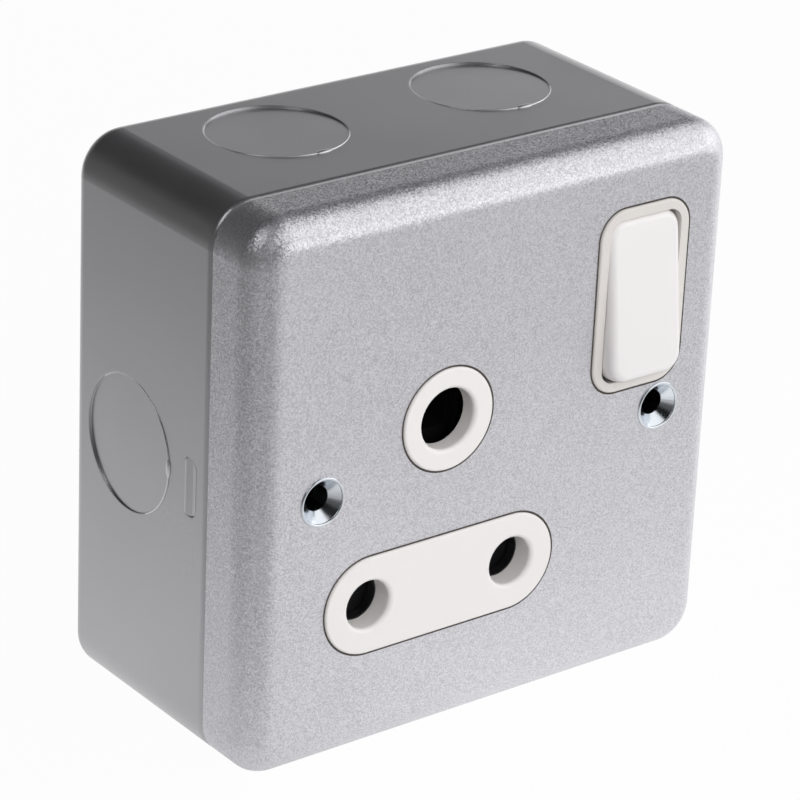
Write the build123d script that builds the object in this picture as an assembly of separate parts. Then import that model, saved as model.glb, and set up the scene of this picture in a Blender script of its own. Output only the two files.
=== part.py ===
"""Metal clad switched socket outlet, 15 A, round pin, one gang, surface mounted.

Millimetres. The origin is the centre of the box's back face, where it meets the wall.
+X is to the right and +Z is up. The front looks along -Y, so a distance "out" is
measured from the wall towards the reader and lies at y = -out.
"""
from build123d import *
import math
import os

# Pressed steel box
BOX_WIDTH = 84.4          # over the side walls
BOX_HEIGHT = 84.4         # over the top and bottom walls
BOX_CORNER = 6.4          # corner radius seen from the front
BOX_BODY = 34.0           # wall to the shoulder that the plate's rim meets
BOX_SHEET = 1.2           # sheet thickness
BOX_BACK_EDGE = 2.4       # radius between the walls and the back
BOX_LIP = 5.6             # lip that stands out past the shoulder, inside the plate
SHOULDER_ROUND = 1.1      # pressed radius where the wall steps in to the lip
KNOCKOUT_RADIUS = 10.23   # blank for a 20 mm conduit entry
KNOCKOUT_OUT = 14.4       # distance of a wall's blanks from the back face
KNOCKOUT_SPREAD = 18.1    # blanks of the top and bottom, each side of the middle
KNOCKOUT_STEP = 0.19      # a sheared blank is pushed in this far, less at its tie, more beyond
SHEAR_LAP = 0.02          # the blank overlaps its hole, so that the two stay one solid
FIXING_SPACING = 50.8     # wall screw holes, both ways
FIXING_RADIUS = 2.5

# Pressed steel front plate
FACE = 44.4               # wall to the front of the plate
PLATE_SHEET = 1.2
PLATE_CORNER = 6.3
PLATE_INSET = 0.05        # the plate's rim lies this far inside the box's walls
LIP_FIT = 0.15            # clearance between rim and lip
RIM_FIT = 0.06            # gap between rim and shoulder
BEVEL_IN = 3.6            # bevel round the face, measured across the face
BEVEL_BACK = 2.8          # the same bevel, measured back from the face
FACE_FOLD = 3.2           # bend radius between face and bevel
RIM_FOLD = 4.0            # bend radius between bevel and rim
INSERT_GAP = 0.2         # gap round each moulded insert

# Pins, as the outlet's standard gives them
EARTH_PIN = 4.355         # radius
LINE_PIN = 3.53           # radius of the line and neutral pins
PIN_SPACING = 25.4        # between the line and neutral centres
EARTH_HEIGHT = 25.6       # earth centre above the line and neutral centres

# Places on the face
EARTH_X = -8.93
EARTH_Z = 7.4
SCREW_SPACING = 60.3      # cover screws
SWITCH_X = 25.2
SWITCH_RISE = 0.6         # switch frame above the eyelets' rims

# Front moulding
INSERT_PROUD = 0.4        # inserts stand this far out of the face
FLANGE_THICK = 2.2
FLANGE_LEFT = -34.0
FLANGE_RIGHT = 36.0
FLANGE_BOTTOM = -30.0
FLANGE_OVER = 1.9         # flange past the top of the switch frame
FLANGE_CORNER = 4.0
EARTH_RING = 7.78         # radius of the ring round the earth hole
CAPSULE_END = 7.52        # end radius of the insert round the line and neutral holes
EARTH_HOLE = 4.6
LINE_HOLE = 3.7
HOLE_ROUND = 0.7          # rounding of the holes' mouths
RELIEF = 1.0              # wider bore behind the earth hole, and its depth
INSERT_EDGE = 0.35        # rounding of the inserts' front edges
GUIDE_WALL = 1.5          # wall of the guides behind the line and neutral holes
GUIDE_DEPTH = 1.5
FRAME_WIDTH = 16.4        # switch frame
FRAME_HEIGHT = 28.3
FRAME_CORNER = 4.4
FRAME_LIP = 1.6
FRAME_INNER_CORNER = 2.3

# Rocker and what it drives
ROCKER_GAP = 0.1          # each side
ROCKER_END_FIT = 0.12
ROCKER_PROUD = 1.3        # flat of the rocker above the frame, half way over
ROCKER_SWING = 14.0       # degrees from off to on
ROCKER_PIVOT = 42.8       # distance out of its axis
ROCKER_SKIRT = 3.1        # thickness at its ends
ROCKER_CORNER = 3.0
ROCKER_EDGE = 1.2
TRUNNION = 1.2            # radius
TRUNNION_LENGTH = 1.3
RUNNING_FIT = 0.05        # radial clearance of everything that turns or slides
HUB_HALF = 3.1            # half height of the hub that holds the plungers
HUB_REACH = 7.5           # hub behind the rocker's axis
POLE_OFFSET = 3.6         # each pole, from the middle of the switch
PLUNGER = 1.6             # radius
PLUNGER_REACH = 16.0      # nose, from the rocker's axis
PLUNGER_LENGTH = 10.5
PLUNGER_BORE_END = 44.4   # distance out of the bore's closed end
SPRING_WIRE = 0.25        # wire radius of the plunger springs
SPRING_TURNS = 5
SPRING_FIT = 0.1

# Switch contacts
BLADE_GAP = 0.1           # nose to blade, half way over
BLADE_THICK = 1.0
BLADE_WIDTH = 5.2
BLADE_UP = 11.0           # length above the fulcrum
BLADE_DOWN = 9.0
BLADE_SWING = 18.0        # degrees from off to on
FULCRUM_GAP = 0.05
FULCRUM_THICK = 1.2
FULCRUM_WIDTH = 4.4
TIP = 1.7                 # radius of the silver tips
TIP_HEIGHT = 0.8
TIP_DOME = 3.5            # spherical radius of a fixed tip
TIP_GAP = 0.06            # left between the tips when closed
TIP_UP = 9.0              # centre of a moving tip above the fulcrum
STRIP_THICK = 1.0         # fixed contact strip
STRIP_WIDTH = 5.2
STRIP_BELOW = 1.0         # strip past the lower edge of its tip

# Rear moulding
BASE_BACK = 12.0          # distance out of its back face
NOTCH_LEFT = -23.6        # side notches that clear the box's lugs
NOTCH_RIGHT = 24.2
NOTCH_HALF = 6.5
SWITCH_FLOOR = 20.2
SWITCH_ROOM_WIDTH = 16.0
SWITCH_ROOM_BOTTOM = 8.0
SWITCH_ROOM_WALL = 2.5    # wall above the switch's room
POLE_RIB = 1.0
POCKET_FIT = 0.1
TONGUE_FIT = 0.05

# Contact tubes and their bars
TUBE_FIT = 0.1            # bore over pin
TUBE_WALL = 0.8
TUBE_SLIT = 0.8
TUBE_FLOOR = 1.0
LINE_TUBE_FRONT = 36.6
LINE_TUBE_BACK = 24.0
EARTH_TUBE_FRONT = 27.6
EARTH_TUBE_BACK = 14.0
STEM = 1.5                # radius of the line and neutral tubes' stems
EARTH_STEM = 2.0
RIVET_HEAD = 0.7          # height of a formed head
RIVET_SPREAD = 1.4        # its radius against its stem's
BAR_WIDTH = 3.0
BAR_THICK = 0.8
BAR_FRONT = 16.8          # distance out of the bars' front
LINE_BAR_X = 19.5         # where the line bar runs down
LINE_BAR_Z = 11.0
NEUTRAL_BAR_X = -18.5

# Terminals
BLOCK_WIDTH = 7.6
BLOCK_HEIGHT = 8.0
BLOCK_SPREAD = 4.4        # line and neutral blocks, from the middle of the switch
BLOCK_DROP = 6.5          # centres of the blocks below the flange's top
EARTH_BLOCK_X = 4.0
WIRE_HOLE = 2.2
WIRE_OUT = 16.4
CLAMP_SCREW = 2.0         # radius
CLAMP_END = 15.0          # distance out of the clamp screws' ends
CLAMP_HEAD = 3.2
HEAD_HEIGHT = 1.8
HEAD_SLOT = 0.8

# Shutter
SHUTTER_THICK = 1.8
SHUTTER_FIT = 0.2
SHUTTER_TRAVEL = 9.4
SHUTTER_COVER = 1.2       # the blade reaches this far past each hole
SHUTTER_TOP_COVER = 1.05
SHUTTER_FOOT = 5.35       # blade's lower edge below the hole centres
SHUTTER_SEAT = 0.05
ARM_INNER = 5.3
ARM_OUTER = 7.5
RAMP_HALF = 5.0           # half width
RAMP_START = 5.2          # ramp's upper edge above the earth centre
RAMP_DEEP = 28.2          # distance out of the ramp's deep end
RAMP_TIP = 1.4
RAMP_WALL = 1.8
SPIGOT_HEIGHT = 2.0       # spigot that holds the return spring
RETURN_SPRING = 2.4       # mean radius of the return spring
RETURN_WIRE = 0.3
RETURN_TURNS = 6
RETURN_SPRING_OUT = 34.0
RETURN_SPRING_TOP = 31.2

# Eyelets, lugs and screws
EYELET_RIM = 3.7          # radius at the face
EYELET_ROLL = 0.22        # radius of its rolled edge
EYELET_BORE = 1.9
EYELET_NECK = 2.6
EYELET_CONE = 1.45
EYELET_FLARE = 3.4
FLARE_THICK = 0.4
STRAP_THICK = 0.8
STRAP_WIDTH = 6.0
LUG_FRONT = 31.3          # distance out of the lugs' front
LUG_THICK = 2.4
LUG_WIDTH = 11.0
LUG_CORNER = 1.5
LUG_REACH = 5.2           # past the screw's axis
TONGUE_BOTTOM = -5.0      # lower end of the staked tongue
TONGUE_TOP = 3.6
TONGUE_CORNER = 1.3
LUG_DIMPLE = 0.35         # depth of the mark where the tongue shows, at its back
LUG_SCREW = 1.75          # radius, tapped
ASSEMBLY_SCREW = 1.45     # radius
ASSEMBLY_HEAD = 2.7
ASSEMBLY_SEAT = 26.0
ASSEMBLY_BOSS = 3.1
ASSEMBLY_BOSS_DEPTH = 5.0
ASSEMBLY_LOW = (-30.0, 32.0)    # X of the lower pair of assembly screws
ASSEMBLY_HIGH = (-30.0, 12.6)
ASSEMBLY_EDGE = 4.0             # from the flange's edges
POST_IN = 12.1            # the box's own earth post, from the left wall
POST_UP = 10.1            # and from the bottom
POST_RADIUS = 4.0
POST_HEIGHT = 7.0
POST_STEM = 1.9
POST_WIRE = 3.0           # centre of its wire hole above the sheet

# Worked out from the sizes above
PLATE_WIDTH = BOX_WIDTH - 2 * PLATE_INSET
PLATE_HEIGHT = BOX_HEIGHT - 2 * PLATE_INSET
PLATE_BACK = FACE - PLATE_SHEET
LIP_INSET = PLATE_INSET + PLATE_SHEET + LIP_FIT
LIP_CORNER = PLATE_CORNER - PLATE_SHEET - LIP_FIT
LIP_FRONT = BOX_BODY + BOX_LIP
BEVEL_ANGLE = math.atan2(BEVEL_IN, BEVEL_BACK)
LINE_Z = EARTH_Z - EARTH_HEIGHT
LINE_X = EARTH_X + PIN_SPACING / 2
NEUTRAL_X = EARTH_X - PIN_SPACING / 2
SCREW_X = SCREW_SPACING / 2
INSERT_FRONT = FACE + INSERT_PROUD
SWITCH_Z = EYELET_RIM + SWITCH_RISE + FRAME_HEIGHT / 2
FLANGE_TOP = SWITCH_Z + FRAME_HEIGHT / 2 + FLANGE_OVER
SWITCH_ROOM_TOP = FLANGE_TOP - SWITCH_ROOM_WALL
BLOCK_Z = FLANGE_TOP - BLOCK_DROP
ASSEMBLY_PLACES = ([(x, FLANGE_BOTTOM + ASSEMBLY_EDGE) for x in ASSEMBLY_LOW]
                   + [(x, FLANGE_TOP - ASSEMBLY_EDGE) for x in ASSEMBLY_HIGH])
FLANGE_BACK = PLATE_BACK - FLANGE_THICK
FLANGE_WIDTH = FLANGE_RIGHT - FLANGE_LEFT
FLANGE_HEIGHT = FLANGE_TOP - FLANGE_BOTTOM
FLANGE_X = (FLANGE_RIGHT + FLANGE_LEFT) / 2
FLANGE_Z = (FLANGE_TOP + FLANGE_BOTTOM) / 2
GUIDE_BACK = FLANGE_BACK - GUIDE_DEPTH
OPENING_WIDTH = FRAME_WIDTH - 2 * FRAME_LIP
OPENING_HEIGHT = FRAME_HEIGHT - 2 * FRAME_LIP
ROCKER_WIDTH = OPENING_WIDTH - 2 * ROCKER_GAP
ROCKER_FRONT = INSERT_FRONT + ROCKER_PROUD
ROCKER_END = OPENING_HEIGHT / 2 - ROCKER_END_FIT
BLADE_FRONT = ROCKER_PIVOT - PLUNGER_REACH - BLADE_GAP
FULCRUM_OUT = BLADE_FRONT - BLADE_THICK
SHUTTER_FRONT = GUIDE_BACK - SHUTTER_FIT
SHUTTER_BACK = SHUTTER_FRONT - SHUTTER_THICK
SHUTTER_ROOM = SHUTTER_BACK - SHUTTER_FIT
LINE_BORE = LINE_PIN + TUBE_FIT
EARTH_BORE = EARTH_PIN + TUBE_FIT
BAR_BACK = BAR_FRONT - BAR_THICK
STRAP_BACK = BASE_BACK - STRAP_THICK
POST_X = -BOX_WIDTH / 2 + POST_IN
POST_Z = -BOX_HEIGHT / 2 + POST_UP
KNOCKOUT_TILT = math.degrees(math.asin(KNOCKOUT_STEP / KNOCKOUT_RADIUS))


def out(distance):
    """The plane parallel to the wall at a distance out from it."""
    return Plane.XZ.offset(distance)


def slab(width, height, radius, back, front, x=0.0, z=0.0):
    """A block with rounded corners as seen from the front."""
    outline = RectangleRounded(width, height, radius) if radius > 0 else Rectangle(width, height)
    return extrude(out(back) * Pos(x, z) * outline, amount=front - back)


def block(left, right, bottom, top, back, front):
    """A square block given by its faces."""
    return slab(right - left, top - bottom, 0, back, front, (left + right) / 2, (bottom + top) / 2)


def rod(radius, back, front, x, z):
    """A round bar that stands square to the wall."""
    return extrude(out(back) * Pos(x, z) * Circle(radius), amount=front - back)


def turned(points, x, z):
    """A turned piece: points of radius and distance out, spun about an axis square to the wall."""
    plane = Plane(origin=(x, 0, z), x_dir=(1, 0, 0), z_dir=(0, 0, -1))
    return revolve(make_face(plane * Polyline(*points, close=True)), Axis((x, 0, z), (0, -1, 0)), 360)


def side_plane(x):
    """The plane square to X whose own axes are distance out and height."""
    return Plane(origin=(x, 0, 0), x_dir=(0, -1, 0), z_dir=(-1, 0, 0))


def prism(points, left, right):
    """A bar along X whose section is given in distance out and height."""
    return extrude(make_face(side_plane(right) * Polyline(*points, close=True)), amount=right - left)


def cross_bar(radius, left, right, distance, z):
    """A round bar along X."""
    return extrude(side_plane(right) * Pos(distance, z) * Circle(radius), amount=right - left)


def tilted(shape, distance, z, angle):
    """A shape turned about an axis along X through a distance out and a height."""
    return Pos(0, -distance, z) * Rot(angle, 0, 0) * Pos(0, distance, -z) * shape


def run(points, width, back, front):
    """A flat strip laid along a route of X and Z points, with square corners."""
    strip = None
    for (x0, z0), (x1, z1) in zip(points, points[1:]):
        half = width / 2
        piece = block(min(x0, x1) - half, max(x0, x1) + half,
                      min(z0, z1) - half, max(z0, z1) + half, back, front)
        strip = piece if strip is None else strip + piece
    return strip


def edges_at(shape, distance):
    """The edges that lie wholly at one distance out."""
    return shape.edges().filter_by_position(Axis.Y, -distance - 0.001, -distance + 0.001)


# Box, drawn from one sheet, with its conduit blanks
def knockout_faces():
    """Each blank's centre on the outside, the outward normal and the direction of its tie."""
    half_width = BOX_WIDTH / 2
    half_height = BOX_HEIGHT / 2
    forward = (0, -1, 0)
    faces = [((side * half_width, -KNOCKOUT_OUT, 0), (side, 0, 0), forward) for side in (-1, 1)]
    for up in (-1, 1):
        for side in (-1, 1):
            centre = (side * KNOCKOUT_SPREAD, -KNOCKOUT_OUT, up * half_height)
            faces.append((centre, (0, 0, up), forward))
    faces.append(((0, 0, 0), (0, 1, 0), (0, 0, -1)))
    return faces


def press_knockout(shell, centre, normal, tie):
    """Push one sheared blank in by its middle, so that it leans from its tie to its far side."""
    lean = Plane(origin=centre, x_dir=tie, z_dir=normal) * Rot(0, -KNOCKOUT_TILT, 0)
    middle = lean * Pos(0, 0, -KNOCKOUT_STEP - BOX_SHEET / 2)
    hole = middle * Cylinder(KNOCKOUT_RADIUS - SHEAR_LAP, 3 * BOX_SHEET)
    return shell - hole + middle * Cylinder(KNOCKOUT_RADIUS, BOX_SHEET)


def tongue_bar(left, right, fit):
    """The section of a lug's tongue, rounded at its front corners, as a bar along X."""
    front = LUG_FRONT + fit
    bar = block(left, right, TONGUE_BOTTOM - fit, TONGUE_TOP + fit, LUG_FRONT - LUG_THICK - fit, front)
    corners = [edge for edge in bar.edges().filter_by(Axis.X) if edge.center().Y < 0.001 - front]
    return fillet(corners, TONGUE_CORNER + fit)


def make_box():
    shoulder_width = BOX_WIDTH - 2 * LIP_INSET
    shoulder_height = BOX_HEIGHT - 2 * LIP_INSET
    body = slab(BOX_WIDTH, BOX_HEIGHT, BOX_CORNER, 0, BOX_BODY)
    body = fillet(edges_at(body, 0), BOX_BACK_EDGE)
    body = fillet(edges_at(body, BOX_BODY), SHOULDER_ROUND)
    body += slab(shoulder_width, shoulder_height, LIP_CORNER, BOX_BODY - BOX_SHEET, LIP_FRONT)
    room = slab(BOX_WIDTH - 2 * BOX_SHEET, BOX_HEIGHT - 2 * BOX_SHEET, BOX_CORNER - BOX_SHEET,
                BOX_SHEET, BOX_BODY - BOX_SHEET)
    room = fillet(edges_at(room, BOX_SHEET), BOX_BACK_EDGE - BOX_SHEET)
    room += slab(shoulder_width - 2 * BOX_SHEET, shoulder_height - 2 * BOX_SHEET,
                 LIP_CORNER - BOX_SHEET, 2 * BOX_SHEET, LIP_FRONT)
    shell = body - room
    for centre, normal, tie in knockout_faces():
        shell = press_knockout(shell, centre, normal, tie)
    for x in (-FIXING_SPACING / 2, FIXING_SPACING / 2):
        for z in (-FIXING_SPACING / 2, FIXING_SPACING / 2):
            shell -= rod(FIXING_RADIUS, 0, BOX_SHEET, x, z)
    shell -= tongue_bar(-BOX_WIDTH / 2, BOX_WIDTH / 2, TONGUE_FIT)
    shell -= rod(POST_STEM + RUNNING_FIT, 0, BOX_SHEET, POST_X, POST_Z)
    return shell


def make_lug(side):
    """A tapped steel lug whose tongue is staked through the box's side wall."""
    wall = BOX_WIDTH / 2
    outer = wall - BOX_SHEET
    inner = SCREW_X - LUG_REACH
    back = LUG_FRONT - LUG_THICK
    lug = slab(outer - inner, LUG_WIDTH, LUG_CORNER, back, LUG_FRONT, (outer + inner) / 2, 0)
    lug += block(outer - LUG_REACH / 2, outer, -LUG_WIDTH / 2, LUG_WIDTH / 2, back, LUG_FRONT)
    end = Polyline((outer, -back), (wall - LUG_DIMPLE, -back), (wall, -LUG_FRONT), (outer, -LUG_FRONT),
                   close=True)
    lug += tongue_bar(outer, wall, 0) & extrude(make_face(end), amount=LUG_WIDTH, both=True)
    lug -= rod(LUG_SCREW, back, LUG_FRONT, SCREW_X, 0)
    return lug if side > 0 else mirror(lug, about=Plane.YZ)


def make_earth_post():
    """Brass post riveted through the box's back, with a cross hole for the wire."""
    post = rod(POST_RADIUS, BOX_SHEET, BOX_SHEET + POST_HEIGHT, POST_X, POST_Z)
    post += rod(POST_STEM, LUG_DIMPLE, BOX_SHEET, POST_X, POST_Z)
    post -= cross_bar(WIRE_HOLE, POST_X - 2 * POST_RADIUS, POST_X + 2 * POST_RADIUS,
                      BOX_SHEET + POST_WIRE, POST_Z)
    post -= rod(CLAMP_SCREW + RUNNING_FIT, BOX_SHEET + POST_WIRE, BOX_SHEET + POST_HEIGHT, POST_X, POST_Z)
    return post


def make_clamp_screw(seat, end, x, z):
    """Slotted clamping screw, its head outwards from the wall or towards it."""
    direction = 1 if end < seat else -1
    shank = rod(CLAMP_SCREW, min(seat, end), max(seat, end), x, z)
    head_end = seat + direction * HEAD_HEIGHT
    head = rod(CLAMP_HEAD, min(seat, head_end), max(seat, head_end), x, z)
    slot_floor = seat + direction * HEAD_HEIGHT / 2
    slot = block(x - CLAMP_HEAD, x + CLAMP_HEAD, z - HEAD_SLOT / 2, z + HEAD_SLOT / 2,
                 min(slot_floor, head_end), max(slot_floor, head_end))
    return shank + head - slot


# Front plate and the eyelets that tie it to the moulding
def pan(inset):
    """The pressed plate's outer form, or the same form one sheet further in."""
    fold_back = BEVEL_BACK + inset * math.tan(BEVEL_ANGLE / 2)
    face = FACE - inset
    fold = FACE - fold_back
    width = PLATE_WIDTH - 2 * inset
    height = PLATE_HEIGHT - 2 * inset
    rim = slab(width, height, PLATE_CORNER - inset, BOX_BODY + RIM_FIT, fold)
    outline = out(fold) * RectangleRounded(width, height, PLATE_CORNER - inset)
    bevel = extrude(outline, amount=face - fold, taper=math.degrees(BEVEL_ANGLE))
    form = rim + bevel
    form = fillet(edges_at(form, face), FACE_FOLD - inset)
    return fillet(edges_at(form, fold), RIM_FOLD - inset)


def make_plate():
    plate = pan(0) - pan(PLATE_SHEET)
    back = PLATE_BACK - PLATE_SHEET
    plate -= rod(EARTH_RING + INSERT_GAP, back, FACE, EARTH_X, EARTH_Z)
    capsule = Pos(EARTH_X, LINE_Z) * SlotCenterToCenter(PIN_SPACING, 2 * (CAPSULE_END + INSERT_GAP))
    plate -= extrude(out(back) * capsule, amount=FACE - back)
    plate -= slab(FRAME_WIDTH + 2 * INSERT_GAP, FRAME_HEIGHT + 2 * INSERT_GAP,
                  FRAME_CORNER + INSERT_GAP, back, FACE, SWITCH_X, SWITCH_Z)
    for x in (-SCREW_X, SCREW_X):
        plate -= turned(((0, back), (EYELET_NECK, back), (EYELET_NECK, PLATE_BACK),
                         (EYELET_RIM, FACE), (0, FACE)), x, 0)
    return plate


def make_eyelet(x, clinch):
    """Plated steel eyelet: a cone with a rolled edge, and a neck flared over behind the flange."""
    cone_back = FACE - EYELET_CONE
    points = ((EYELET_BORE, clinch - FLARE_THICK), (EYELET_FLARE, clinch - FLARE_THICK),
              (EYELET_FLARE, clinch), (EYELET_NECK, clinch), (EYELET_NECK, PLATE_BACK),
              (EYELET_RIM, FACE), (EYELET_RIM - 2 * EYELET_ROLL, FACE), (EYELET_BORE, cone_back))
    roll = Pos(x, -FACE, 0) * Rot(90, 0, 0) * Torus(EYELET_RIM - EYELET_ROLL, EYELET_ROLL)
    return turned(points, x, 0) + (roll & rod(EYELET_RIM, FACE, FACE + EYELET_ROLL, x, 0))


# Front moulding
def line_centres():
    return ((NEUTRAL_X, LINE_Z), (LINE_X, LINE_Z))


def poles():
    """X of the neutral pole and of the line pole in the switch."""
    return (SWITCH_X - POLE_OFFSET, SWITCH_X + POLE_OFFSET)


def insert(outline):
    """One of the moulding's inserts, with its front edge rounded."""
    form = extrude(out(PLATE_BACK) * outline, amount=INSERT_FRONT - PLATE_BACK)
    return fillet(edges_at(form, INSERT_FRONT), INSERT_EDGE)


def make_front_moulding():
    moulding = slab(FLANGE_WIDTH, FLANGE_HEIGHT, FLANGE_CORNER, FLANGE_BACK, PLATE_BACK, FLANGE_X, FLANGE_Z)
    moulding += insert(Pos(EARTH_X, EARTH_Z) * Circle(EARTH_RING))
    moulding += insert(Pos(EARTH_X, LINE_Z) * SlotCenterToCenter(PIN_SPACING, 2 * CAPSULE_END))
    moulding += insert(Pos(SWITCH_X, SWITCH_Z) * RectangleRounded(FRAME_WIDTH, FRAME_HEIGHT, FRAME_CORNER))
    for x, z in ASSEMBLY_PLACES:
        moulding += rod(ASSEMBLY_BOSS, FLANGE_BACK - ASSEMBLY_BOSS_DEPTH, FLANGE_BACK, x, z)
        moulding -= rod(ASSEMBLY_SCREW + RUNNING_FIT, FLANGE_BACK - ASSEMBLY_BOSS_DEPTH,
                        FLANGE_BACK + FLANGE_THICK / 2, x, z)
    for x, z in line_centres():
        moulding += rod(LINE_HOLE + GUIDE_WALL, GUIDE_BACK, FLANGE_BACK, x, z)
        moulding -= rod(LINE_HOLE, GUIDE_BACK, INSERT_FRONT, x, z)
    moulding -= rod(EARTH_HOLE, FLANGE_BACK, INSERT_FRONT, EARTH_X, EARTH_Z)
    moulding -= rod(EARTH_HOLE + RELIEF, FLANGE_BACK, FLANGE_BACK + RELIEF, EARTH_X, EARTH_Z)
    mouths = [edge for edge in edges_at(moulding, INSERT_FRONT)
              if edge.is_closed and edge.radius < EARTH_HOLE + HOLE_ROUND]
    moulding = fillet(mouths, HOLE_ROUND)
    moulding -= slab(OPENING_WIDTH, OPENING_HEIGHT, FRAME_INNER_CORNER, FLANGE_BACK, INSERT_FRONT,
                     SWITCH_X, SWITCH_Z)
    seat = OPENING_WIDTH / 2 + TRUNNION_LENGTH
    bearing = TRUNNION + RUNNING_FIT
    moulding -= cross_bar(bearing, SWITCH_X - seat, SWITCH_X + seat, ROCKER_PIVOT, SWITCH_Z)
    moulding -= block(SWITCH_X - seat, SWITCH_X + seat, SWITCH_Z - bearing, SWITCH_Z + bearing,
                      FLANGE_BACK, ROCKER_PIVOT)
    for x in (-SCREW_X, SCREW_X):
        moulding -= rod(EYELET_NECK + RUNNING_FIT, FLANGE_BACK, PLATE_BACK, x, 0)
    return moulding


# Rocker, plungers and springs, made half way over and then leant to off
def lean_off(shape):
    return tilted(shape, ROCKER_PIVOT, SWITCH_Z, -ROCKER_SWING / 2)


def make_rocker():
    half = ROCKER_WIDTH / 2
    left = SWITCH_X - half
    right = SWITCH_X + half
    skirt_back = ROCKER_FRONT - ROCKER_SKIRT
    ends = cross_bar(ROCKER_END, left, right, ROCKER_PIVOT, SWITCH_Z)
    ends &= block(left, right, SWITCH_Z - ROCKER_END, SWITCH_Z + ROCKER_END, skirt_back, ROCKER_FRONT)
    corners = [edge for edge in ends.edges()
               if abs(abs(edge.center().X - SWITCH_X) - half) < 0.01
               and abs(edge.center().Z - SWITCH_Z) > ROCKER_END / 2]
    rocker = fillet(corners, ROCKER_CORNER)
    rocker = fillet(edges_at(rocker, ROCKER_FRONT), ROCKER_EDGE)
    hub_half = half - ROCKER_GAP
    rocker += block(SWITCH_X - hub_half, SWITCH_X + hub_half, SWITCH_Z - HUB_HALF, SWITCH_Z + HUB_HALF,
                    ROCKER_PIVOT - HUB_REACH, skirt_back)
    reach = OPENING_WIDTH / 2 + TRUNNION_LENGTH - ROCKER_GAP
    rocker += cross_bar(TRUNNION, SWITCH_X - reach, SWITCH_X + reach, ROCKER_PIVOT, SWITCH_Z)
    for x in poles():
        rocker -= rod(PLUNGER + RUNNING_FIT, ROCKER_PIVOT - HUB_REACH, PLUNGER_BORE_END, x, SWITCH_Z)
    return lean_off(rocker)


def make_plunger(x):
    nose = ROCKER_PIVOT - PLUNGER_REACH
    body = rod(PLUNGER, nose + PLUNGER, nose + PLUNGER_LENGTH, x, SWITCH_Z)
    body += Pos(x, -nose - PLUNGER, SWITCH_Z) * Sphere(PLUNGER)
    return lean_off(body)


def coil(radius, wire, length, turns, place):
    """A closed-end compression spring that stands up from a place."""
    path = Helix(pitch=(length - 2 * wire) / turns, height=length - 2 * wire, radius=radius)
    section = Plane(path @ 0, x_dir=(0, 0, 1), z_dir=path % 0) * Circle(wire)
    return place * Pos(0, 0, wire) * sweep(section, path=path)


def make_plunger_spring(x):
    back = ROCKER_PIVOT - PLUNGER_REACH + PLUNGER_LENGTH
    place = Location(Plane(origin=(x, -back, SWITCH_Z), x_dir=(1, 0, 0), z_dir=(0, -1, 0)))
    spring = coil(PLUNGER - SPRING_FIT - SPRING_WIRE, SPRING_WIRE, PLUNGER_BORE_END - back, SPRING_TURNS,
                  place)
    return lean_off(spring)


# Switch contacts, one pair for each pole
def lean_blade(shape, angle):
    return tilted(shape, FULCRUM_OUT, SWITCH_Z, angle)


def make_blade(x):
    half = BLADE_WIDTH / 2
    blade = block(x - half, x + half, SWITCH_Z - BLADE_DOWN, SWITCH_Z + BLADE_UP, FULCRUM_OUT, BLADE_FRONT)
    return lean_blade(blade, BLADE_SWING / 2)


def make_moving_tip(x):
    tip = rod(TIP, FULCRUM_OUT - TIP_HEIGHT, FULCRUM_OUT, x, SWITCH_Z + TIP_UP)
    return lean_blade(tip, BLADE_SWING / 2)


def closed_tip():
    """Distance out and height of a moving tip's face when the switch is on."""
    angle = math.radians(BLADE_SWING / 2)
    inward = TIP_HEIGHT * math.cos(angle) + TIP_UP * math.sin(angle)
    up = TIP_UP * math.cos(angle) - TIP_HEIGHT * math.sin(angle)
    return FULCRUM_OUT - inward, SWITCH_Z + up


def make_fixed_tip(x):
    """Silver rivet whose domed head meets the moving tip's leaning face."""
    face, z = closed_tip()
    centre = face - (TIP_DOME + TIP_GAP) / math.cos(math.radians(BLADE_SWING / 2))
    strip = SWITCH_FLOOR + STRIP_THICK
    head = rod(TIP, strip, centre + TIP_DOME, x, z)
    return head & (Pos(x, -centre, z) * Sphere(TIP_DOME))


def make_fixed_strip(x):
    half = STRIP_WIDTH / 2
    bottom = closed_tip()[1] - TIP - STRIP_BELOW
    return block(x - half, x + half, bottom, SWITCH_ROOM_TOP - POCKET_FIT,
                 SWITCH_FLOOR, SWITCH_FLOOR + STRIP_THICK)


def bar_routes():
    """The neutral bar's and the line bar's route, from the fulcrum to the contact tube."""
    neutral_pole, line_pole = poles()
    neutral = ((neutral_pole, SWITCH_Z), (NEUTRAL_BAR_X, SWITCH_Z), (NEUTRAL_BAR_X, LINE_Z),
               (NEUTRAL_X, LINE_Z))
    line = ((line_pole, SWITCH_Z), (line_pole, LINE_BAR_Z), (LINE_BAR_X, LINE_BAR_Z),
            (LINE_BAR_X, LINE_Z), (LINE_X, LINE_Z))
    return neutral, line


def make_bar(route, tube_x):
    """Copper bar with its fulcrum stood up at one end and an eye at the other."""
    bar = run(route, BAR_WIDTH, BAR_BACK, BAR_FRONT)
    bar += rod(2 * STEM, BAR_BACK, BAR_FRONT, tube_x, LINE_Z)
    pole_x = route[0][0]
    edge = FULCRUM_THICK / 2
    knife = FULCRUM_OUT - FULCRUM_GAP - edge
    half = FULCRUM_WIDTH / 2
    bar += block(pole_x - half, pole_x + half, SWITCH_Z - edge, SWITCH_Z + edge, BAR_FRONT, knife)
    bar += cross_bar(edge, pole_x - half, pole_x + half, knife, SWITCH_Z)
    return bar - rod(STEM + RUNNING_FIT, BAR_BACK, BAR_FRONT, tube_x, LINE_Z)


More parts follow.
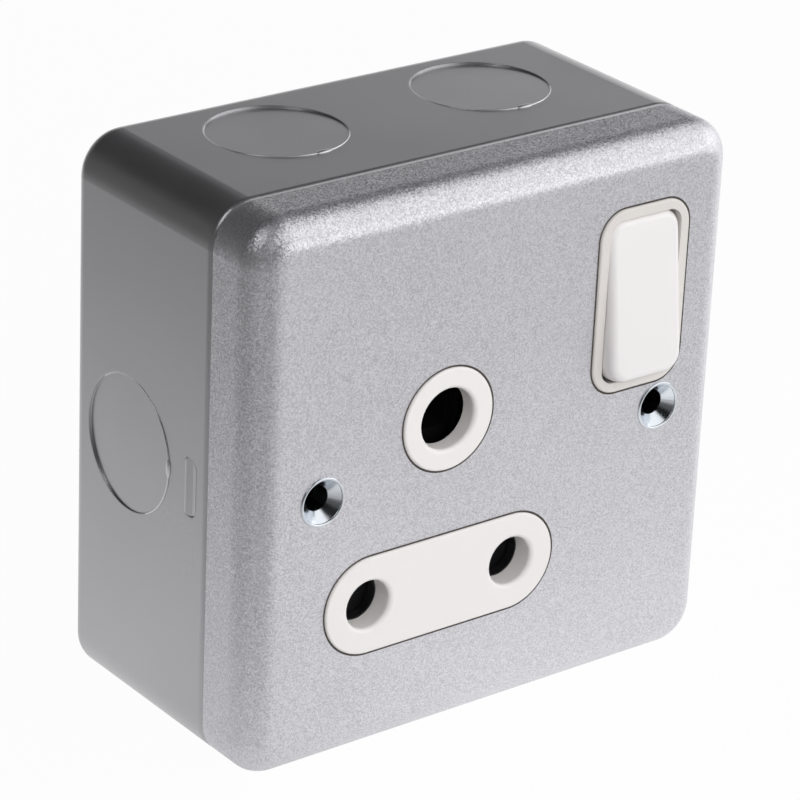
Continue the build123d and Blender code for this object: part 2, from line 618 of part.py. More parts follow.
# Contact tubes
def make_tube(bore, back, front, stem, stem_end, head_seat, x, z):
    """Slit spring tube with a stem that is riveted over behind its bar."""
    outer = bore + TUBE_WALL
    tube = rod(outer, back, front, x, z) - rod(bore, back + TUBE_FLOOR, front, x, z)
    slit_end = back + (front - back) / 3
    half = TUBE_SLIT / 2
    tube -= block(x - outer, x + outer, z - half, z + half, slit_end, front)
    tube -= block(x - half, x + half, z - outer, z + outer, slit_end, front)
    tube += rod(stem, stem_end, back, x, z)
    return tube + rod(stem * RIVET_SPREAD, stem_end, head_seat, x, z)


# Terminal blocks
def make_block(x, front):
    half = BLOCK_WIDTH / 2
    low = BLOCK_Z - BLOCK_HEIGHT / 2
    body = block(x - half, x + half, low, low + BLOCK_HEIGHT, BASE_BACK, front)
    wire = Pos(x, -WIRE_OUT, BLOCK_Z) * Cylinder(WIRE_HOLE, 2 * BLOCK_HEIGHT)
    return body - wire - rod(CLAMP_SCREW + RUNNING_FIT, BASE_BACK, WIRE_OUT, x, BLOCK_Z)


def block_centres():
    """X of the neutral, line and earth blocks."""
    return (SWITCH_X - BLOCK_SPREAD, SWITCH_X + BLOCK_SPREAD, EARTH_BLOCK_X)


# Shutter
def shutter_reach():
    """Left and right ends of the shutter's blade."""
    past = LINE_HOLE + SHUTTER_COVER
    return NEUTRAL_X - past, LINE_X + past


def make_shutter():
    left, right = shutter_reach()
    bottom = LINE_Z - SHUTTER_FOOT
    top = LINE_Z + LINE_HOLE + SHUTTER_TOP_COVER
    ramp_top = EARTH_Z + RAMP_START + RAMP_WALL
    shutter = block(left, right, bottom, top, SHUTTER_BACK, SHUTTER_FRONT)
    for side in (-1, 1):
        near = EARTH_X + side * ARM_INNER
        far = EARTH_X + side * ARM_OUTER
        shutter += block(min(near, far), max(near, far), top, ramp_top, SHUTTER_BACK, SHUTTER_FRONT)
    start = EARTH_Z + RAMP_START
    fall = SHUTTER_FRONT - RAMP_DEEP - RAMP_TIP
    section = ((SHUTTER_FRONT, start), (SHUTTER_FRONT, ramp_top), (RAMP_DEEP, ramp_top),
               (RAMP_DEEP, start - fall), (RAMP_DEEP + RAMP_TIP, start - fall))
    shutter += prism(section, EARTH_X - RAMP_HALF, EARTH_X + RAMP_HALF)
    shutter += block(EARTH_X - ARM_OUTER, EARTH_X + ARM_OUTER, start, ramp_top, SHUTTER_BACK, SHUTTER_FRONT)
    spigot = Pos(EARTH_X, -RETURN_SPRING_OUT, ramp_top + SPIGOT_HEIGHT / 2)
    return shutter + spigot * Cylinder(RETURN_SPRING - 2 * RETURN_WIRE, SPIGOT_HEIGHT)


def make_return_spring():
    bottom = EARTH_Z + RAMP_START + RAMP_WALL
    place = Pos(EARTH_X, -RETURN_SPRING_OUT, bottom)
    return coil(RETURN_SPRING, RETURN_WIRE, RETURN_SPRING_TOP - bottom, RETURN_TURNS, place)


# Rear moulding, with a pocket for each piece that it holds
def make_base():
    base = slab(FLANGE_WIDTH, FLANGE_HEIGHT, FLANGE_CORNER, BASE_BACK, FLANGE_BACK, FLANGE_X, FLANGE_Z)
    base -= block(FLANGE_LEFT, NOTCH_LEFT, -NOTCH_HALF, NOTCH_HALF, BASE_BACK, FLANGE_BACK)
    base -= block(NOTCH_RIGHT, FLANGE_RIGHT, -NOTCH_HALF, NOTCH_HALF, BASE_BACK, FLANGE_BACK)

    left, right = shutter_reach()
    foot = LINE_Z - SHUTTER_FOOT - SHUTTER_SEAT
    blade_top = LINE_Z + LINE_HOLE + SHUTTER_TOP_COVER + SHUTTER_TRAVEL + SHUTTER_FIT
    ramp_top = EARTH_Z + RAMP_START + RAMP_WALL + SHUTTER_TRAVEL + SHUTTER_FIT
    arm = ARM_OUTER + SHUTTER_FIT
    base -= block(left - SHUTTER_FIT, right + SHUTTER_FIT, foot, blade_top, SHUTTER_ROOM, FLANGE_BACK)
    base -= block(EARTH_X - arm, EARTH_X + arm, blade_top, ramp_top, SHUTTER_ROOM, FLANGE_BACK)
    fall = SHUTTER_FRONT - RAMP_DEEP - RAMP_TIP
    ramp_low = EARTH_Z + RAMP_START - fall - SHUTTER_FIT
    ramp_floor = RAMP_DEEP - SHUTTER_FIT
    ramp_half = RAMP_HALF + SHUTTER_FIT
    base -= block(EARTH_X - ramp_half, EARTH_X + ramp_half, ramp_low, ramp_top, ramp_floor, FLANGE_BACK)
    spring_half = RETURN_SPRING + RETURN_WIRE + SHUTTER_FIT
    base -= block(EARTH_X - spring_half, EARTH_X + spring_half, ramp_top, RETURN_SPRING_TOP,
                  RETURN_SPRING_OUT - spring_half, FLANGE_BACK)

    tube_pocket = LINE_BORE + TUBE_WALL + POCKET_FIT
    for x, z in line_centres():
        base -= rod(LINE_HOLE + GUIDE_WALL + SHUTTER_FIT, GUIDE_BACK, FLANGE_BACK, x, z)
        base -= rod(tube_pocket, LINE_TUBE_BACK, SHUTTER_ROOM, x, z)
        base -= rod(STEM + POCKET_FIT, BASE_BACK, LINE_TUBE_BACK, x, z)
        base -= rod(2 * STEM + POCKET_FIT, BASE_BACK, BAR_FRONT, x, z)
    base -= rod(EARTH_BORE + TUBE_WALL + POCKET_FIT, EARTH_TUBE_BACK, ramp_floor, EARTH_X, EARTH_Z)
    base -= rod(EARTH_STEM + POCKET_FIT, BASE_BACK, EARTH_TUBE_BACK, EARTH_X, EARTH_Z)

    room_half = SWITCH_ROOM_WIDTH / 2
    room = block(SWITCH_X - room_half, SWITCH_X + room_half, SWITCH_ROOM_BOTTOM, SWITCH_ROOM_TOP,
                 SWITCH_FLOOR, FLANGE_BACK)
    rib_front = BLADE_FRONT + PLUNGER
    rib = block(SWITCH_X - POLE_RIB / 2, SWITCH_X + POLE_RIB / 2, SWITCH_ROOM_BOTTOM, SWITCH_ROOM_TOP,
                SWITCH_FLOOR, rib_front)
    base -= room - rib
    seat = OPENING_WIDTH / 2 + TRUNNION_LENGTH
    base -= cross_bar(TRUNNION + RUNNING_FIT, SWITCH_X - seat, SWITCH_X + seat, ROCKER_PIVOT, SWITCH_Z)
    for x in poles():
        half = FULCRUM_WIDTH / 2 + POCKET_FIT
        edge = FULCRUM_THICK / 2 + POCKET_FIT
        base -= block(x - half, x + half, SWITCH_Z - edge, SWITCH_Z + edge, BAR_FRONT, SWITCH_FLOOR)
    for route in bar_routes():
        base -= run(route, BAR_WIDTH + 2 * POCKET_FIT, BASE_BACK, BAR_FRONT)
    for x in block_centres():
        half = BLOCK_WIDTH / 2 + POCKET_FIT
        base -= block(x - half, x + half, BLOCK_Z - BLOCK_HEIGHT / 2 - POCKET_FIT, FLANGE_TOP,
                      BASE_BACK, SWITCH_FLOOR)
    for x, z in ASSEMBLY_PLACES:
        base -= rod(ASSEMBLY_HEAD + POCKET_FIT, BASE_BACK, ASSEMBLY_SEAT, x, z)
        base -= rod(ASSEMBLY_SCREW + POCKET_FIT, ASSEMBLY_SEAT, FLANGE_BACK, x, z)
        base -= rod(ASSEMBLY_BOSS + POCKET_FIT, FLANGE_BACK - ASSEMBLY_BOSS_DEPTH, FLANGE_BACK, x, z)
    return base


def make_assembly_screw(x, z):
    head_back = ASSEMBLY_SEAT - HEAD_HEIGHT
    screw = rod(ASSEMBLY_SCREW, ASSEMBLY_SEAT, FLANGE_BACK + FLANGE_THICK / 2 - POCKET_FIT, x, z)
    screw += rod(ASSEMBLY_HEAD, head_back, ASSEMBLY_SEAT, x, z)
    return screw - block(x - ASSEMBLY_HEAD, x + ASSEMBLY_HEAD, z - HEAD_SLOT / 2, z + HEAD_SLOT / 2,
                         head_back, ASSEMBLY_SEAT - HEAD_HEIGHT / 2)


def make_earth_strap():
    """Plated strip from the left eyelet, back beside the moulding and over to the earth block."""
    half = STRAP_WIDTH / 2
    bend = NOTCH_LEFT - STRAP_THICK
    ear = FLANGE_BACK - STRAP_THICK
    strap = block(-SCREW_X - STRAP_WIDTH / 2, NOTCH_LEFT, -half, half, ear, FLANGE_BACK)
    strap -= rod(EYELET_NECK + RUNNING_FIT, ear, FLANGE_BACK, -SCREW_X, 0)
    strap += block(bend, NOTCH_LEFT, -half, half, STRAP_BACK, FLANGE_BACK)
    route = ((NOTCH_LEFT, 0), (EARTH_X, 0), (EARTH_X, BLOCK_Z), (EARTH_BLOCK_X, BLOCK_Z))
    strap += run(route, STRAP_WIDTH, STRAP_BACK, BASE_BACK)
    strap -= block(NOTCH_LEFT - STRAP_WIDTH, bend, -half, half, STRAP_BACK, BASE_BACK)
    strap -= rod(EARTH_STEM + RUNNING_FIT, STRAP_BACK, BASE_BACK, EARTH_X, EARTH_Z)
    return strap - rod(CLAMP_SCREW + RUNNING_FIT, STRAP_BACK, BASE_BACK, EARTH_BLOCK_X, BLOCK_Z)


def make_nodes():
    neutral_pole, line_pole = poles()
    neutral_route, line_route = bar_routes()
    neutral_block, line_block, earth_block = block_centres()
    return {
        "back_box": make_box(),
        "box_lug_left": make_lug(-1),
        "box_lug_right": make_lug(1),
        "box_earth_post": make_earth_post(),
        "box_earth_screw": make_clamp_screw(BOX_SHEET + POST_HEIGHT, BOX_SHEET + POST_WIRE + WIRE_HOLE / 2,
                                            POST_X, POST_Z),
        "front_plate": make_plate(),
        "eyelet_left": make_eyelet(-SCREW_X, FLANGE_BACK - STRAP_THICK),
        "eyelet_right": make_eyelet(SCREW_X, FLANGE_BACK),
        "front_moulding": make_front_moulding(),
        "base_moulding": make_base(),
        "assembly_screws": [make_assembly_screw(x, z) for x, z in ASSEMBLY_PLACES],
        "rocker": make_rocker(),
        "plunger_neutral": make_plunger(neutral_pole),
        "plunger_line": make_plunger(line_pole),
        "plunger_spring_neutral": make_plunger_spring(neutral_pole),
        "plunger_spring_line": make_plunger_spring(line_pole),
        "contact_blade_neutral": make_blade(neutral_pole),
        "contact_blade_line": make_blade(line_pole),
        "moving_tips": [make_moving_tip(x) for x in poles()],
        "fixed_strip_neutral": make_fixed_strip(neutral_pole),
        "fixed_strip_line": make_fixed_strip(line_pole),
        "fixed_tips": [make_fixed_tip(x) for x in poles()],
        "busbar_neutral": make_bar(neutral_route, NEUTRAL_X),
        "busbar_line": make_bar(line_route, LINE_X),
        "tube_neutral": make_tube(LINE_BORE, LINE_TUBE_BACK, LINE_TUBE_FRONT, STEM,
                                  BAR_BACK - RIVET_HEAD, BAR_BACK, NEUTRAL_X, LINE_Z),
        "tube_line": make_tube(LINE_BORE, LINE_TUBE_BACK, LINE_TUBE_FRONT, STEM,
                               BAR_BACK - RIVET_HEAD, BAR_BACK, LINE_X, LINE_Z),
        "tube_earth": make_tube(EARTH_BORE, EARTH_TUBE_BACK, EARTH_TUBE_FRONT, EARTH_STEM,
                                STRAP_BACK - RIVET_HEAD, STRAP_BACK, EARTH_X, EARTH_Z),
        "terminal_block_neutral": make_block(neutral_block, SWITCH_FLOOR),
        "terminal_block_line": make_block(line_block, SWITCH_FLOOR),
        "terminal_block_earth": make_block(earth_block, SWITCH_FLOOR),
        "terminal_screw_neutral": make_clamp_screw(BASE_BACK, CLAMP_END, neutral_block, BLOCK_Z),
        "terminal_screw_line": make_clamp_screw(BASE_BACK, CLAMP_END, line_block, BLOCK_Z),
        "terminal_screw_earth": make_clamp_screw(STRAP_BACK, CLAMP_END, earth_block, BLOCK_Z),
        "earth_strap": make_earth_strap(),
        "shutter": make_shutter(),
        "shutter_spring": make_return_spring(),
    }


os.makedirs("parts", exist_ok=True)
for name, solids in make_nodes().items():
    shape = Compound(children=solids) if isinstance(solids, list) else solids
    export_step(shape, f"parts/{name}.step")
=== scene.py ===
"""Metal clad switched socket outlet: its finishes, small details, table, light and camera.

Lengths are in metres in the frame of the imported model. The box's back lies on the wall at
y = 0, the front looks along -Y, +X is to the right and +Z is up.
"""
import math

import bpy
from mathutils import Matrix, Vector


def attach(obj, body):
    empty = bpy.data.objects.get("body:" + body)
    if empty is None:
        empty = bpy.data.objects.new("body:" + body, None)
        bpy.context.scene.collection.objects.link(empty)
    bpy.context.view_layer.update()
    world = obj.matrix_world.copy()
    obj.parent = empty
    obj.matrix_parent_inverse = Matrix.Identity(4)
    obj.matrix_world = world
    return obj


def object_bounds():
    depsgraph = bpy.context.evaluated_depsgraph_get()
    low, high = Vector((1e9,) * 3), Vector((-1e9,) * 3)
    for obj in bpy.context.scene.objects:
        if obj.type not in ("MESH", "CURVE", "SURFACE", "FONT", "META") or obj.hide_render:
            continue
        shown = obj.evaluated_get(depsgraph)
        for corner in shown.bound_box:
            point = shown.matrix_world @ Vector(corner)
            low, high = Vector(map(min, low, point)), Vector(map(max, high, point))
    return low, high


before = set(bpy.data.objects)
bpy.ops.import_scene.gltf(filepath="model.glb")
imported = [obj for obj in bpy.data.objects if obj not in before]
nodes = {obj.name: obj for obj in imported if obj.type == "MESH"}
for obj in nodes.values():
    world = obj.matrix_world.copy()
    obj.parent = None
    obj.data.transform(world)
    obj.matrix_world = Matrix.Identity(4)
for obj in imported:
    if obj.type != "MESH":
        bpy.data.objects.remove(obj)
cad_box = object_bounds()
MM = 0.001


# Camera
# The photograph looks down on the outlet from its upper left through a long lens.
VIEW_PLACE = Vector((-314.655, -423.265, 231.029)) * MM
VIEW_AZIMUTH = math.radians(-38.1068)
VIEW_ELEVATION = math.radians(24.4266)
VIEW_ROLL = math.radians(2.5936)
FOCAL_PIXELS = 3846.07
PHOTO_PIXELS = 800
SENSOR = 36.0

back = Vector((math.sin(VIEW_AZIMUTH) * math.cos(VIEW_ELEVATION),
               -math.cos(VIEW_AZIMUTH) * math.cos(VIEW_ELEVATION), math.sin(VIEW_ELEVATION)))
level_right = Vector((0, 0, 1)).cross(back).normalized()
level_up = back.cross(level_right)
right = level_right * math.cos(VIEW_ROLL) + level_up * math.sin(VIEW_ROLL)
up = level_up * math.cos(VIEW_ROLL) - level_right * math.sin(VIEW_ROLL)

bpy.ops.object.camera_add(location=VIEW_PLACE)
camera = bpy.context.object
camera.rotation_euler = Matrix((right, up, back)).transposed().to_euler()
camera.data.sensor_width = SENSOR
camera.data.lens = SENSOR * FOCAL_PIXELS / PHOTO_PIXELS
camera.data.clip_start = 10 * MM
camera.data.clip_end = 20.0
bpy.context.scene.camera = camera


# Table
# A matt white table that the camera sees as pure white with a faint shadow. Metal mirrors it
# brightest behind and to the right, and duller to the left and in front.
FLOOR_GAP = 0.05 * MM
FLOOR_SIZE = 6.0
WHITE_SHARE = 0.97        # of the table's brightness to the eye that has no shadow in it
LEVEL_BEHIND = 1.19       # mirrored brightness behind and to the right
FALL_LEFT = 4.87          # what it loses per metre to the left
FALL_FRONT = 2.8          # what it loses per metre in front
LEVEL_FAR = 0.52          # what it keeps at least
EDGE_FAR, EDGE_NEAR = -220 * MM, -160 * MM     # it dims once more from the one to the other
EDGE_SHARE = 0.30         # what is left beyond that


def linear(colour):
    """An sRGB hex colour as linear red, green, blue and alpha."""
    channels = [int(colour[i:i + 2], 16) / 255 for i in (1, 3, 5)]
    return [c / 12.92 if c <= 0.04045 else ((c + 0.055) / 1.055) ** 2.4 for c in channels] + [1.0]


def add_node(tree, kind, links=(), values=(), **settings):
    """Add a shader node with its links and the values of its numbered inputs.

    A setting is one of the node's own options, or else one of its named inputs.
    """
    node = tree.nodes.new(kind)
    for name, value in settings.items():
        if hasattr(node, name):
            setattr(node, name, value)
    for name, value in settings.items():
        if not hasattr(node, name):
            node.inputs[name.replace("_", " ")].default_value = value
    for number, value in values:
        node.inputs[number].default_value = value
    for source, target in links:
        tree.links.new(source, node.inputs[target])
    return node


bpy.ops.object.select_all(action="DESELECT")
bpy.ops.mesh.primitive_plane_add(size=FLOOR_SIZE, location=(0, 0, cad_box[0].z - FLOOR_GAP))
table = bpy.context.object
table.name = "floor"
table_top = bpy.data.materials.new("white_table")
table_top.use_nodes = True
tree = table_top.node_tree
tree.nodes.clear()
path = add_node(tree, "ShaderNodeLightPath")
mirrored = add_node(tree, "ShaderNodeMath", operation="MAXIMUM",
                    links=[(path.outputs["Is Glossy Ray"], 0),
                           (path.outputs["Is Transmission Ray"], 1)])
seen = add_node(tree, "ShaderNodeMath", operation="MAXIMUM",
                links=[(path.outputs["Is Camera Ray"], 0), (mirrored.outputs[0], 1)])
share = add_node(tree, "ShaderNodeMath", operation="MULTIPLY", links=[(seen.outputs[0], 0)],
                 values=[(1, WHITE_SHARE)])
place = add_node(tree, "ShaderNodeTexCoord")
across = add_node(tree, "ShaderNodeSeparateXYZ", links=[(place.outputs["Object"], 0)])
to_left = add_node(tree, "ShaderNodeMath", operation="MINIMUM", links=[(across.outputs["X"], 0)],
                   values=[(1, 0.0)])
to_front = add_node(tree, "ShaderNodeMath", operation="MINIMUM", links=[(across.outputs["Y"], 0)],
                    values=[(1, 0.0)])
level = add_node(tree, "ShaderNodeMath", operation="MULTIPLY_ADD", links=[(to_left.outputs[0], 0)],
                 values=[(1, FALL_LEFT), (2, LEVEL_BEHIND)])
level = add_node(tree, "ShaderNodeMath", operation="MULTIPLY_ADD",
                 links=[(to_front.outputs[0], 0), (level.outputs[0], 2)], values=[(1, FALL_FRONT)])
level = add_node(tree, "ShaderNodeMath", operation="MAXIMUM", links=[(level.outputs[0], 0)],
                 values=[(1, LEVEL_FAR)])
edge = add_node(tree, "ShaderNodeMapRange", From_Min=EDGE_FAR, From_Max=EDGE_NEAR,
                To_Min=EDGE_SHARE, To_Max=1.0, links=[(across.outputs["X"], "Value")])
level = add_node(tree, "ShaderNodeMath", operation="MULTIPLY",
                 links=[(level.outputs[0], 0), (edge.outputs[0], 1)])
strength = add_node(tree, "ShaderNodeMix", data_type="FLOAT", B=1.0,
                    links=[(path.outputs["Is Camera Ray"], "Factor"), (level.outputs[0], "A")])
lit = add_node(tree, "ShaderNodeBsdfDiffuse", Color=linear("#f2f2f2"))
bright = add_node(tree, "ShaderNodeEmission", Color=linear("#ffffff"),
                  links=[(strength.outputs[0], "Strength")])
mixed = add_node(tree, "ShaderNodeMixShader",
                 links=[(share.outputs[0], 0), (lit.outputs[0], 1), (bright.outputs[0], 2)])
add_node(tree, "ShaderNodeOutputMaterial", links=[(mixed.outputs[0], "Surface")])
table.data.materials.append(table_top)


# Room
# White walls under a dark ceiling: what stands level with the table is mirrored pale, and the
# box's top and its rounded corner mirror the dark above. The camera sees plain white.
ROOM_TONES = ((0.0, "#ffffff"), (0.20, "#f0f0f0"), (0.32, "#cbcbcb"), (0.38, "#828285"),
              (0.50, "#3e3e40"), (1.0, "#303032"))     # from the floor up
ROOM_SIDES = ((0.10, 0.10), (0.32, 0.20), (0.50, 0.45), (0.66, 0.68), (0.92, 1.30))   # rightwards

room = bpy.data.worlds.new("room_with_dark_ceiling")
bpy.context.scene.world = room
room.use_nodes = True
tree = room.node_tree
tree.nodes.clear()
way = add_node(tree, "ShaderNodeTexCoord")
height = add_node(tree, "ShaderNodeSeparateXYZ", links=[(way.outputs["Generated"], 0)])
tones = add_node(tree, "ShaderNodeValToRGB", links=[(height.outputs["Z"], "Fac")])
side = add_node(tree, "ShaderNodeMath", operation="MULTIPLY_ADD", links=[(height.outputs["X"], 0)],
                values=[(1, 0.5), (2, 0.5)])
sides = add_node(tree, "ShaderNodeValToRGB", links=[(side.outputs[0], "Fac")])
brightest = ROOM_SIDES[-1][1]
shares = [(position, [share / brightest] * 3 + [1.0]) for position, share in ROOM_SIDES]
colours = [(position, linear(tone)) for position, tone in ROOM_TONES]
for node, stops in ((tones, colours), (sides, shares)):
    ramp = node.color_ramp.elements
    while len(ramp) < len(stops):
        ramp.new(1.0)
    for element, (position, colour) in zip(ramp, stops):
        element.position = position
        element.color = colour
side = add_node(tree, "ShaderNodeMath", operation="MULTIPLY", links=[(sides.outputs["Color"], 0)],
                values=[(1, brightest)])
walls = add_node(tree, "ShaderNodeBackground",
                 links=[(tones.outputs["Color"], "Color"), (side.outputs[0], "Strength")])
white = add_node(tree, "ShaderNodeBackground", Color=linear("#ffffff"), Strength=1.0)
path = add_node(tree, "ShaderNodeLightPath")
mixed = add_node(tree, "ShaderNodeMixShader",
                 links=[(path.outputs["Is Camera Ray"], 0), (walls.outputs[0], 1),
                        (white.outputs[0], 2)])
add_node(tree, "ShaderNodeOutputWorld", links=[(mixed.outputs[0], "Surface")])


# Lamps
# One broad soft lamp high at the right front, which the top bevel mirrors, a weaker one at the
# left front that lifts the white parts and is not mirrored, and a narrow one at the upper left
# for gloss alone, which flashes on the rounded corners and along the edges of the blanks.
def soft_lamp(name, direction, distance, width, height, watts):
    """A rectangular lamp that faces the outlet."""
    place = Vector(direction).normalized() * distance
    bpy.ops.object.light_add(type="AREA", location=place)
    lamp = bpy.context.object
    lamp.name = name
    lamp.data.shape = "RECTANGLE"
    lamp.data.size = width
    lamp.data.size_y = height
    lamp.data.energy = watts
    lamp.rotation_euler = place.to_track_quat("Z", "Y").to_euler()
    return lamp


edge_lamp = soft_lamp("edge_lamp", (-0.57, -0.20, 0.77), distance=0.9, width=0.25, height=0.6,
                      watts=1.1)
edge_lamp.visible_diffuse = False
soft_lamp("key_lamp", (0.62, -0.51, 0.60), distance=0.8, width=1.3, height=0.8, watts=3.75)
fill_lamp = soft_lamp("fill_lamp", (-0.25, -0.85, 0.45), distance=0.9, width=0.5, height=0.4,
                      watts=3.4)
fill_lamp.visible_glossy = False


# Box
# Deep drawn steel, pickled and dipped, then stoved in a semi gloss grey enamel. The enamel
# draws back from sharp edges, so sheared steps look soft, and it dries with a faint peel.
ENAMEL_EDGE = 0.32 * MM   # how far the enamel rounds an edge off
PEEL = 1.1 * MM           # distance between the waves of its peel
PEEL_HIGH = 0.012 * MM
CLOUD = 22 * MM           # size of the faint cloudy patches
FIRST, SECOND = 6, 7      # the two colour inputs of a mix node


def finish_of(name, **settings):
    """A new material with these settings of its principled shader."""
    material = bpy.data.materials.new(name)
    material.use_nodes = True
    for setting, value in settings.items():
        socket = material.node_tree.nodes["Principled BSDF"].inputs[setting.replace("_", " ")]
        socket.default_value = value
    return material


def pattern_of(material):
    """A material's node tree, its principled shader and the place on the object."""
    tree = material.node_tree
    place = add_node(tree, "ShaderNodeTexCoord").outputs["Object"]
    return tree, tree.nodes["Principled BSDF"], place


def wear(material, *names):
    """Give CAD nodes one material in place of their plain one."""
    for name in names:
        mesh = nodes[name].data
        mesh.materials.clear()
        mesh.materials.append(material)


box_enamel = finish_of("stoved_grey_enamel", Metallic=0.85)
tree, shader, place = pattern_of(box_enamel)
soft_edge = add_node(tree, "ShaderNodeBevel", samples=6, Radius=ENAMEL_EDGE)
peel = add_node(tree, "ShaderNodeTexNoise", Scale=1 / PEEL, Detail=1.5, links=[(place, "Vector")])
wavy = add_node(tree, "ShaderNodeBump", Strength=0.25, Distance=PEEL_HIGH,
                links=[(peel.outputs["Fac"], "Height"), (soft_edge.outputs[0], "Normal")])
cloud = add_node(tree, "ShaderNodeTexNoise", Scale=1 / CLOUD, Detail=3, links=[(place, "Vector")])
rough = add_node(tree, "ShaderNodeMapRange", From_Min=0.3, From_Max=0.7, To_Min=0.27, To_Max=0.34,
                 links=[(cloud.outputs["Fac"], "Value")])
tint = add_node(tree, "ShaderNodeMix", data_type="RGBA", links=[(cloud.outputs["Fac"], "Factor")],
                values=[(FIRST, linear("#b3b2b5")), (SECOND, linear("#b9b8ba"))])
tree.links.new(tint.outputs[2], shader.inputs["Base Color"])
tree.links.new(rough.outputs[0], shader.inputs["Roughness"])
tree.links.new(wavy.outputs[0], shader.inputs["Normal"])
wear(box_enamel, "back_box", "box_lug_left", "box_lug_right")


# Edges of the conduit blanks
# Each blank is sheared nearly through and pushed in, so it leans from its tie at the front. The
# enamel has gathered along its edge in a thin bead, and over the tie in a small swelling. Bead
# and swelling are coloured much lighter than the box: a painted highlight along each edge's front.
WALL = 42.2               # from the middle to the box's walls, in millimetres
BLANK_OUT = 14.4          # from the wall behind the box to the blanks' middle
BLANK_SPREAD = 18.1       # from the middle to each of two blanks in one wall
BLANK_RADIUS = 10.23
BLANK_STEP = 0.19         # how far a blank's middle is pushed in
BEAD = 0.14               # radius of the bead
BEAD_OUT = 0.05           # how far its middle stands outside the blank's edge
BEAD_END = -1.2           # the bead runs round the half in front of this
TIE_SIZE = (0.5, 1.5, 0.26)   # half its width, half its length and its height
TIE_IN = 0.15             # how far its middle lies inside the blank's edge
# place, outward normal, turns of the tie and of the bead in degrees from straight in front
BLANKS = (((-WALL, -BLANK_OUT, 0), (-1, 0, 0), 1, 33),
          ((-BLANK_SPREAD, -BLANK_OUT, WALL), (0, 0, 1), 5, -38),
          ((BLANK_SPREAD, -BLANK_OUT, WALL), (0, 0, 1), 1, -38),
          ((WALL, -BLANK_OUT, 0), (1, 0, 0), -5, -20),
          ((-BLANK_SPREAD, -BLANK_OUT, -WALL), (0, 0, -1), 4, 10),
          ((BLANK_SPREAD, -BLANK_OUT, -WALL), (0, 0, -1), 0, 25))

# Much lighter than the box's enamel: a painted highlight on the beads, the ties and the lugs'
# ridges.
bead_enamel = finish_of("enamel_bead_painted_highlight", Base_Color=linear("#dcdcde"), Metallic=0.9, Roughness=0.38)
lean = Matrix.Rotation(-math.asin(BLANK_STEP / BLANK_RADIUS), 4, "Y")
sunk = Matrix.Translation((0, 0, BEAD_OUT - BLANK_STEP))
forward = Vector((0, -1, 0))
for number, (middle, normal, tie_turn, bead_turn) in enumerate(BLANKS, 1):
    bpy.ops.object.select_all(action="DESELECT")
    bpy.ops.mesh.primitive_torus_add(major_radius=BLANK_RADIUS, minor_radius=BEAD,
                                     major_segments=128, minor_segments=10)
    bead = bpy.context.object
    bpy.ops.object.mode_set(mode="EDIT")
    bpy.ops.mesh.bisect(plane_co=(BEAD_END, 0, 0), plane_no=(1, 0, 0), clear_inner=True,
                        use_fill=True)
    bpy.ops.object.mode_set(mode="OBJECT")
    bead.data.transform(Matrix.Rotation(math.radians(bead_turn), 4, "Z"))
    bpy.ops.mesh.primitive_uv_sphere_add(segments=24, ring_count=12, radius=1.0)
    tie = bpy.context.object
    tie.data.transform(Matrix.Rotation(math.radians(tie_turn), 4, "Z")
                       @ Matrix.Translation((BLANK_RADIUS - TIE_IN, 0, 0))
                       @ Matrix.Diagonal((*TIE_SIZE, 1)))
    normal = Vector(normal)
    turn = Matrix((forward, normal.cross(forward), normal)).transposed().to_4x4()
    for piece, name in ((bead, "blank_edge"), (tie, "blank_tie")):
        piece.name = f"{name}_{number}"
        piece.data.transform(Matrix.Scale(MM, 4) @ Matrix.Translation(middle) @ turn @ sunk @ lean)
        piece.data.materials.append(bead_enamel)
        piece.select_set(True)
        bpy.context.view_layer.objects.active = piece
        bpy.ops.object.shade_smooth()
        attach(piece, "housing")


# Marks of the lugs
# Where each lug's tongue is staked through its wall the end is peened over: it stands a little
# proud along its back and is sunk in front, and the enamel leaves a bead along the ridge. The
# bead wears the much lighter bead enamel, a painted highlight that shows the ridge as a bright
# line.
MARK_BACK, MARK_FRONT = -28.85, -31.38     # in millimetres
MARK_LOW, MARK_HIGH = -5.05, 3.65
MARK_PROUD, MARK_SUNK = 0.08, 0.30
MARK_CORNER = 1.3
RIDGE = 0.17              # radius of the bead
RIDGE_SHORT = 0.6         # by how much it is shorter than the mark
RIDGE_FORWARD = 0.02      # how far it lies in front of the mark's back

